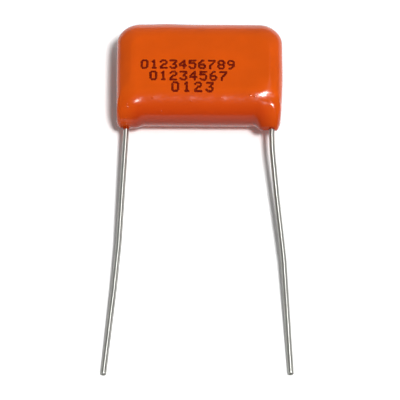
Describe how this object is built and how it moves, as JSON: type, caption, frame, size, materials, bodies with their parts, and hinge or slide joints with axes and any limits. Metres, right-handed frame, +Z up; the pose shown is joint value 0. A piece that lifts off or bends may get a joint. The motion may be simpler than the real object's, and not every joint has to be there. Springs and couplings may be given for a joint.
{
  "type": "radial lead film capacitor",
  "caption": "Flat film capacitor in a dipped orange epoxy coating with short coated legs and straight tinned wire leads that splay a little.",
  "frame": {"origin": "middle of the flat back face that the part rests on", "axes": "+X across the body towards the right lead, +Y from the lead tips towards the crown, +Z up out of the printed front face"},
  "size_m": [0.0286, 0.0604, 0.008],
  "materials": {
    "coating": "glossy dipped epoxy",
    "film": "clear film over bright foil",
    "end_metal": "dull sprayed metal",
    "solder": "satin solder",
    "lead_wire": "bright tinned wire"
  },
  "bodies": {
    "root": {"coating": "coating", "winding": "film", "end_layer_left": "end_metal", "end_layer_right": "end_metal", "solder_left": "solder", "solder_right": "solder", "lead_left": "lead_wire", "lead_right": "lead_wire"}
  },
  "joints": []
}
